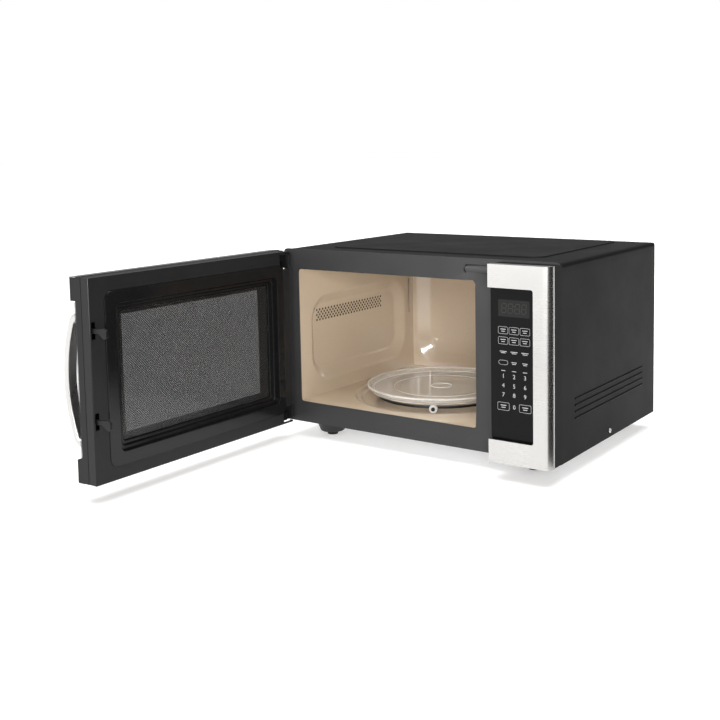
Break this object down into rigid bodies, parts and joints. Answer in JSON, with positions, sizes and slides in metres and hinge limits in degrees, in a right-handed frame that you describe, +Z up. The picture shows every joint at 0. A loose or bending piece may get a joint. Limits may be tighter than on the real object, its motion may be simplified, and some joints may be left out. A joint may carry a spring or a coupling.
{
  "type": "microwave oven",
  "caption": "Countertop microwave oven with a side-hinged window door standing open, a glass turntable and an upright touch control panel.",
  "frame": {"origin": "on the worktop, below the middle of the cabinet's front face", "axes": "+X to the right as one faces the oven, +Y into the oven, +Z up"},
  "size_m": [0.6054, 0.8299, 0.336],
  "materials": {
    "casing_paint": "satin",
    "front_paint": "satin",
    "zinc_sheet": "satin",
    "oven_enamel": "gloss",
    "stainless": "brushed",
    "black_plastic": "satin",
    "gloss_black": "gloss",
    "rubber": "matte",
    "door_tint": "gloss",
    "clear_glass": "gloss",
    "film": "gloss",
    "screen_metal": "satin",
    "white_plastic": "satin",
    "mica": "satin",
    "board": "satin",
    "magnet_steel": "satin",
    "core_steel": "matte",
    "copper": "satin",
    "capacitor_can": "satin",
    "hinge_steel": "satin",
    "spring_steel": "satin",
    "lamp_glass": "gloss"
  },
  "bodies": {
    "cabinet": {"outer_casing": "casing_paint", "base_plate": "zinc_sheet", "foot_dishes": "casing_paint", "rear_panel": "zinc_sheet", "front_plate": "front_paint", "casing_screws": "hinge_steel", "rubber_feet": "rubber", "cord_gland": "black_plastic", "cavity_ceiling": "oven_enamel", "cavity_left_wall": "oven_enamel", "cavity_right_wall": "oven_enamel", "cavity_rear_wall": "oven_enamel", "cavity_floor": "oven_enamel", "waveguide_cover": "mica", "turntable_motor": "hinge_steel", "control_housing": "black_plastic", "control_bezel": "stainless", "control_glass": "gloss_black", "keypad_membrane": "film", "display_module": "gloss_black", "control_board": "board", "waveguide": "zinc_sheet", "magnetron": "magnet_steel", "transformer_core": "core_steel", "transformer_windings": "copper", "capacitor": "capacitor_can", "capacitor_clamp": "zinc_sheet", "high_voltage_diode": "gloss_black", "fan_shroud": "black_plastic", "fan_motor": "core_steel", "air_duct": "black_plastic", "lamp_holder": "zinc_sheet", "oven_lamp": "lamp_glass", "thermal_cutouts": "capacitor_can", "filter_board": "board", "interlock_bracket": "white_plastic", "interlock_switches": "gloss_black", "upper_hinge": "hinge_steel", "lower_hinge": "hinge_steel"},
    "door": {"door_frame": "black_plastic", "door_trim": "stainless", "door_glass": "door_tint", "door_panel": "front_paint", "choke_cover": "gloss_black", "door_screen": "screen_metal", "window_film": "film", "door_handle": "stainless", "handle_screws": "hinge_steel"},
    "latch": {"latch_slider": "black_plastic", "latch_spring": "spring_steel"},
    "coupler": {"drive_coupler": "white_plastic"},
    "tray": {"glass_tray": "clear_glass"},
    "ring": {"roller_ring": "black_plastic"},
    "roller_1": {"roller_1": "white_plastic"},
    "roller_2": {"roller_2": "white_plastic"},
    "roller_3": {"roller_3": "white_plastic"},
    "fan": {"fan_blade": "white_plastic"},
    "plunger_1": {"switch_plunger_1": "white_plastic"},
    "plunger_2": {"switch_plunger_2": "white_plastic"},
    "plunger_3": {"switch_plunger_3": "white_plastic"}
  },
  "joints": [
    {"name": "door_hinge", "type": "hinge", "parent": "cabinet", "child": "door", "pos_m": [-0.2635, -0.02, 0.18], "axis": [0, 0, 1], "range_deg": [-19, 91]},
    {"name": "latch_slide", "type": "slide", "parent": "door", "child": "latch", "axis": [0, 0, 1], "range_m": [0, 0.005], "stiffness_N_per_m": 350, "springref_m": -0.006, "deforming": ["latch_spring"]},
    {"name": "turntable_spin", "type": "hinge", "parent": "cabinet", "child": "coupler", "pos_m": [-0.058, 0.1815, 0.0569], "axis": [0, 0, 1], "continuous": true},
    {"name": "tray_lift", "type": "slide", "parent": "coupler", "child": "tray", "axis": [0, 0, 1], "range_m": [0, 0.03]},
    {"name": "ring_spin", "type": "hinge", "parent": "cabinet", "child": "ring", "pos_m": [-0.058, 0.1815, 0.0644], "axis": [0, 0, 1], "continuous": true},
    {"name": "roller_1_spin", "type": "hinge", "parent": "ring", "child": "roller_1", "pos_m": [-0.00399, 0.06877, 0.0644], "axis": [0.4321, -0.9018, 0], "continuous": true},
    {"name": "roller_2_spin", "type": "hinge", "parent": "ring", "child": "roller_2", "pos_m": [0.01262, 0.28464, 0.0644], "axis": [0.565, 0.8251, 0], "continuous": true},
    {"name": "roller_3_spin", "type": "hinge", "parent": "ring", "child": "roller_3", "pos_m": [-0.18263, 0.19109, 0.0644], "axis": [-0.9971, 0.0767, 0], "continuous": true},
    {"name": "fan_spin", "type": "hinge", "parent": "cabinet", "child": "fan", "pos_m": [0.196, 0.312, 0.187], "axis": [0, 1, 0], "continuous": true},
    {"name": "switch_1_press", "type": "slide", "parent": "cabinet", "child": "plunger_1", "axis": [0, 1, 0], "range_m": [0, 0.0012], "stiffness_N_per_m": 250, "springref_m": -0.001},
    {"name": "switch_2_press", "type": "slide", "parent": "cabinet", "child": "plunger_2", "axis": [0, 1, 0], "range_m": [0, 0.0012], "stiffness_N_per_m": 250, "springref_m": -0.001},
    {"name": "switch_3_press", "type": "slide", "parent": "cabinet", "child": "plunger_3", "axis": [0, 1, 0], "range_m": [0, 0.0012], "stiffness_N_per_m": 250, "springref_m": -0.001}
  ],
  "couplings": [
    {"joint": "ring_spin", "follows": "turntable_spin", "ratio": 0.5},
    {"joint": "roller_1_spin", "follows": "turntable_spin", "ratio": -8.6806},
    {"joint": "roller_2_spin", "follows": "turntable_spin", "ratio": -8.6806},
    {"joint": "roller_3_spin", "follows": "turntable_spin", "ratio": -8.6806}
  ]
}
